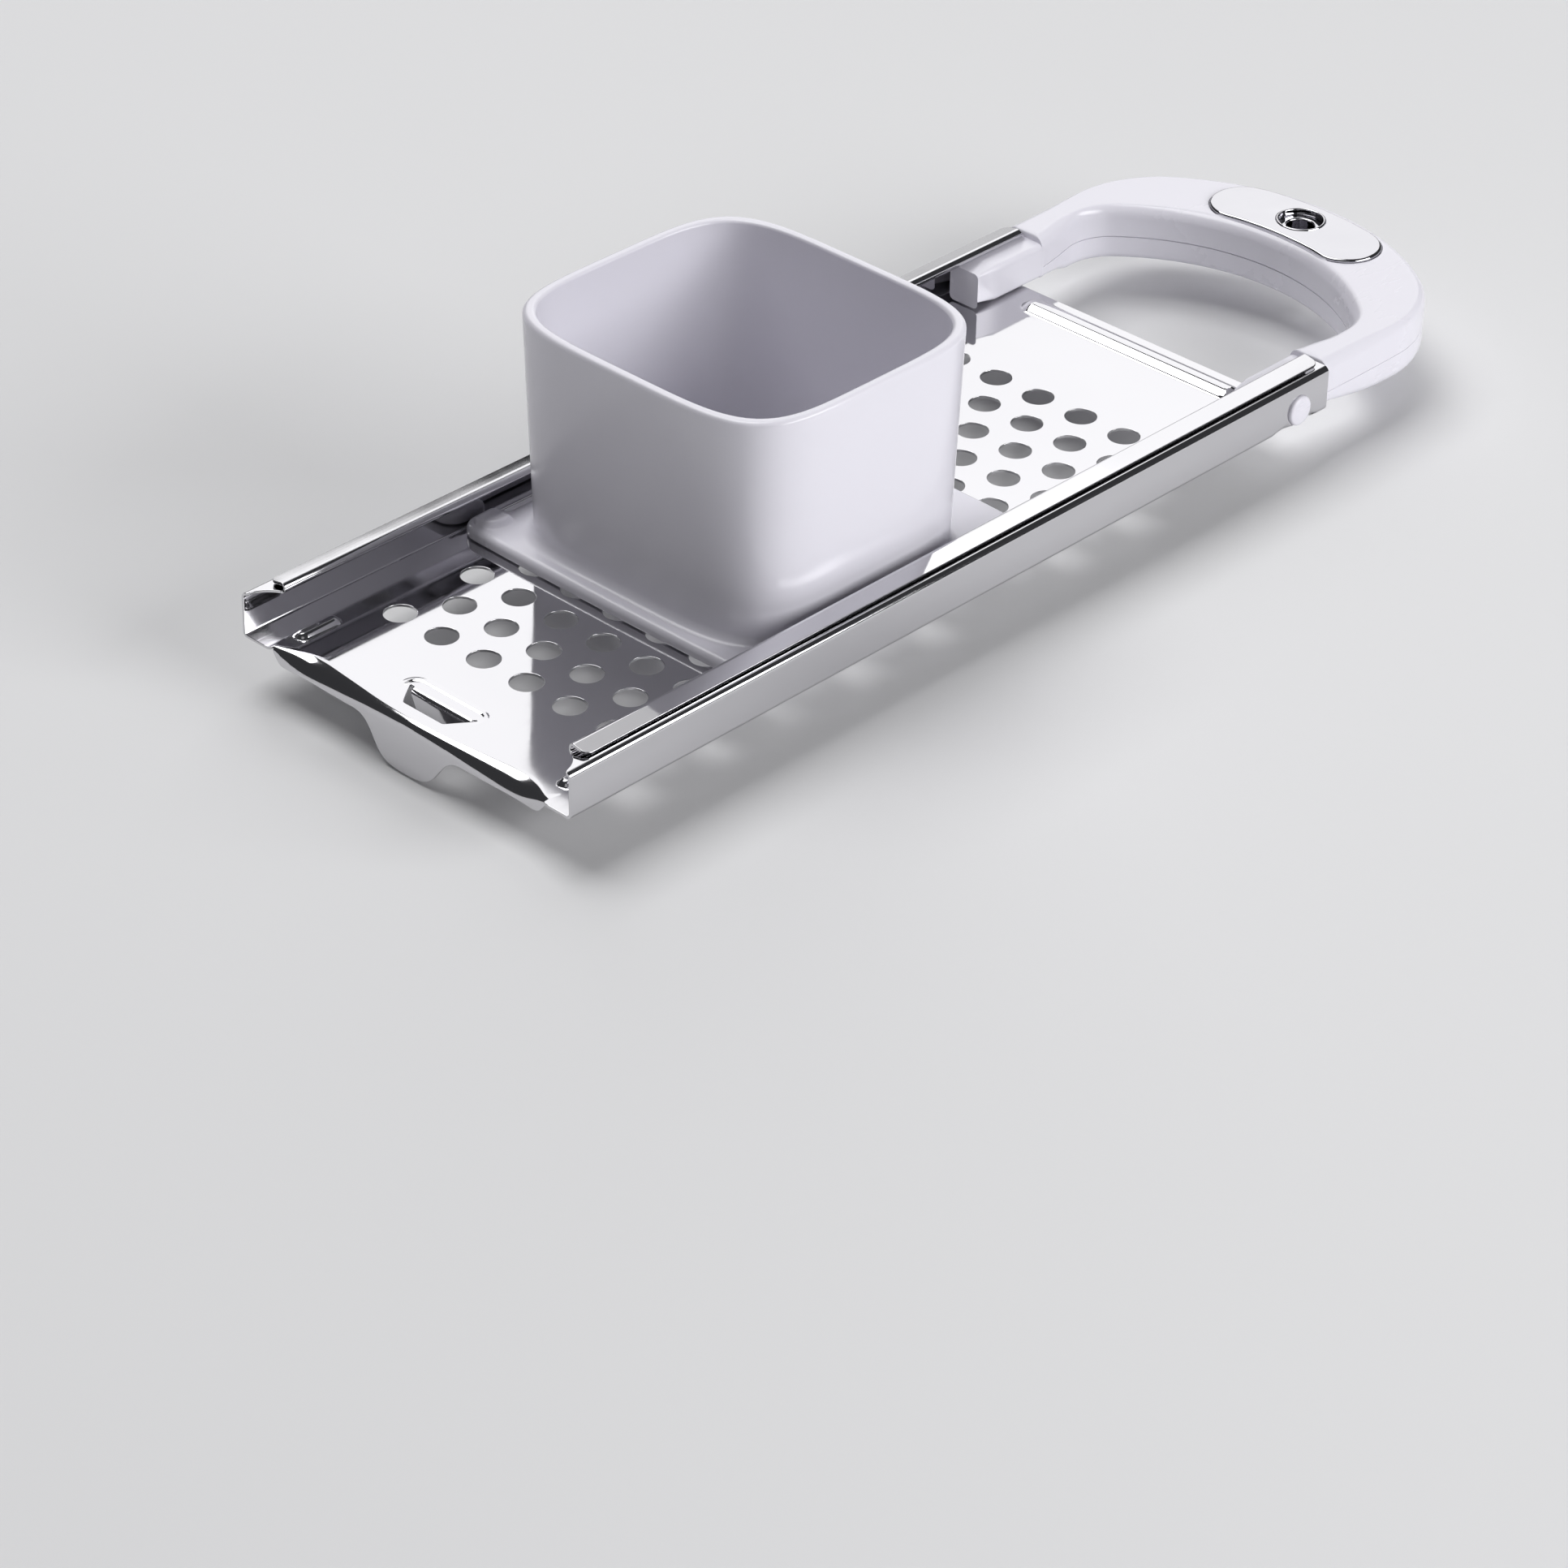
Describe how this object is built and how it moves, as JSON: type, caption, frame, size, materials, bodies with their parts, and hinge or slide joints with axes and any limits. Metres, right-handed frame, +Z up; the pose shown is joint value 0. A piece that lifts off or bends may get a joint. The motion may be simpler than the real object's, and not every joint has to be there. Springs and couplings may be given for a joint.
{
  "type": "spaetzle maker",
  "caption": "Perforated steel plate with channel rails, a pot hook and a loop handle, and an open square hopper that slides along the rails to press dough through the holes.",
  "frame": {"origin": "under the middle of the whole object's length and width, at the level of its lowest point, the tip of the front tongue", "axes": "+X along the rails from the pot hook towards the handle, +Y across the plate, +Z up out of the hopper's mouth"},
  "size_m": [0.328, 0.11, 0.0756],
  "materials": {
    "polished_steel": "mirror-polished stainless sheet, faint drawing marks at the bends",
    "white_plastic": "glossy injection-moulded plastic, cool white",
    "chrome_trim": "polished chrome trim"
  },
  "bodies": {
    "frame": {"grater_plate": "polished_steel", "handle_upper_shell": "white_plastic", "handle_lower_shell": "white_plastic", "handle_inlay": "chrome_trim", "hanging_eyelet": "chrome_trim"},
    "hopper": {"hopper": "white_plastic"}
  },
  "joints": [
    {"name": "hopper_slide", "type": "slide", "parent": "frame", "child": "hopper", "axis": [1, 0, 0], "range_m": [-0.045, 0.0742]}
  ]
}
